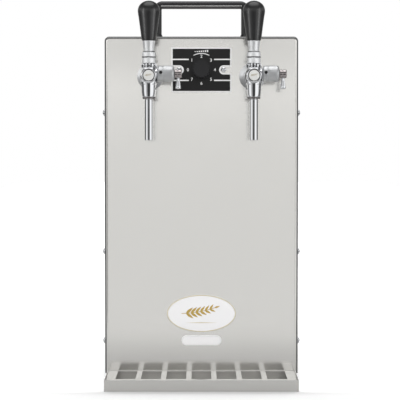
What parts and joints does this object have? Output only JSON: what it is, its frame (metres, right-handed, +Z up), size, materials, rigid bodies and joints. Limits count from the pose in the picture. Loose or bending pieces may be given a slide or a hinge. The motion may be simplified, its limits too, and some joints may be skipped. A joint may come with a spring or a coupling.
{
  "type": "beer tap cooler",
  "caption": "Counter-top beer cooler: upright steel cabinet with lever taps, flow regulators, thermostat dial, carry handle and a slotted drip tray.",
  "frame": {"origin": "centre of the footprint, on the table", "axes": "+Z up, taps face -Y, +X to the user's right"},
  "size_m": [0.286, 0.52, 0.563],
  "materials": {
    "steel": "satin",
    "chrome": "polished",
    "black_plastic": "satin",
    "black_plate": "satin",
    "white_enamel": "gloss",
    "rubber": "matte",
    "zinc": "satin",
    "aluminium": "satin",
    "foam": "matte",
    "clear_tube": "gloss",
    "black_steel": "satin",
    "copper": "satin",
    "grey_plastic": "satin",
    "grip_plastic": "gloss",
    "brass": "satin"
  },
  "bodies": {
    "cabinet": {"base_pan": "steel", "rubber_feet": "rubber", "foot_screws": "steel", "front_panel": "steel", "cabinet_wrapper": "steel", "rear_panel": "steel", "side_screws": "chrome", "carry_handle": "black_plastic", "handle_screws": "steel", "control_plate": "black_plate", "thermostat_body": "zinc", "thermostat_screws": "chrome", "oval_badge": "white_enamel", "pill_label": "white_enamel", "left_shank": "chrome", "left_rosette": "chrome", "left_lock_nut": "brass", "left_tap_body": "chrome", "left_front_cap": "chrome", "left_bonnet": "chrome", "left_pivot_pin": "zinc", "left_spout": "chrome", "left_regulator": "chrome", "right_shank": "chrome", "right_rosette": "chrome", "right_lock_nut": "brass", "right_tap_body": "chrome", "right_front_cap": "chrome", "right_bonnet": "chrome", "right_pivot_pin": "zinc", "right_spout": "chrome", "right_regulator": "chrome", "mid_shelf": "steel", "cooling_block": "aluminium", "block_insulation": "foam", "left_beer_line": "clear_tube", "right_beer_line": "clear_tube", "compressor": "black_steel", "compressor_mounts": "rubber", "condenser": "aluminium", "fan_shroud": "steel", "fan_motor": "black_plastic", "filter_drier": "copper", "refrigerant_pipes": "copper", "left_beer_inlet": "grey_plastic", "right_beer_inlet": "grey_plastic", "cable_gland": "black_plastic"},
    "left_handle": {"left_lever": "chrome", "left_grip": "grip_plastic"},
    "right_handle": {"right_lever": "chrome", "right_grip": "grip_plastic"},
    "left_valve": {"left_valve_shaft": "brass"},
    "right_valve": {"right_valve_shaft": "brass"},
    "left_regulator_arm": {"left_regulator_lever": "chrome"},
    "right_regulator_arm": {"right_regulator_lever": "chrome"},
    "dial": {"thermostat_knob": "black_plastic"},
    "fan": {"fan_blade": "black_plastic"},
    "tray": {"drip_tray": "steel"},
    "grate": {"drip_grate": "steel"}
  },
  "joints": [
    {"name": "left_tap_lever", "type": "hinge", "parent": "cabinet", "child": "left_handle", "pos_m": [-0.0735, -0.235, 0.458], "axis": [1, 0, 0], "range_deg": [0, 30]},
    {"name": "left_valve_travel", "type": "slide", "parent": "cabinet", "child": "left_valve", "axis": [0, 1, 0], "range_m": [0, 0.0085]},
    {"name": "left_regulator_turn", "type": "hinge", "parent": "cabinet", "child": "left_regulator_arm", "pos_m": [-0.0375, -0.235, 0.4436], "axis": [1, 0, 0], "range_deg": [-90, 0]},
    {"name": "right_tap_lever", "type": "hinge", "parent": "cabinet", "child": "right_handle", "pos_m": [0.0735, -0.235, 0.458], "axis": [1, 0, 0], "range_deg": [0, 30]},
    {"name": "right_valve_travel", "type": "slide", "parent": "cabinet", "child": "right_valve", "axis": [0, 1, 0], "range_m": [0, 0.0085]},
    {"name": "right_regulator_turn", "type": "hinge", "parent": "cabinet", "child": "right_regulator_arm", "pos_m": [0.1095, -0.235, 0.4436], "axis": [1, 0, 0], "range_deg": [-90, 0]},
    {"name": "thermostat_turn", "type": "hinge", "parent": "cabinet", "child": "dial", "pos_m": [0, -0.18, 0.4517], "axis": [0, 1, 0], "range_deg": [-90, 225]},
    {"name": "fan_spin", "type": "hinge", "parent": "cabinet", "child": "fan", "pos_m": [0, 0.15, 0.1132], "axis": [0, 1, 0], "continuous": true},
    {"name": "tray_slide", "type": "slide", "parent": "cabinet", "child": "tray", "axis": [0, -1, 0], "range_m": [0, 0.08]},
    {"name": "grate_lift", "type": "slide", "parent": "tray", "child": "grate", "axis": [0, 0, 1], "range_m": [0, 0.05]}
  ],
  "couplings": [
    {"joint": "left_valve_travel", "follows": "left_tap_lever", "m_per_rad": 0.0157},
    {"joint": "right_valve_travel", "follows": "right_tap_lever", "m_per_rad": 0.0157}
  ]
}
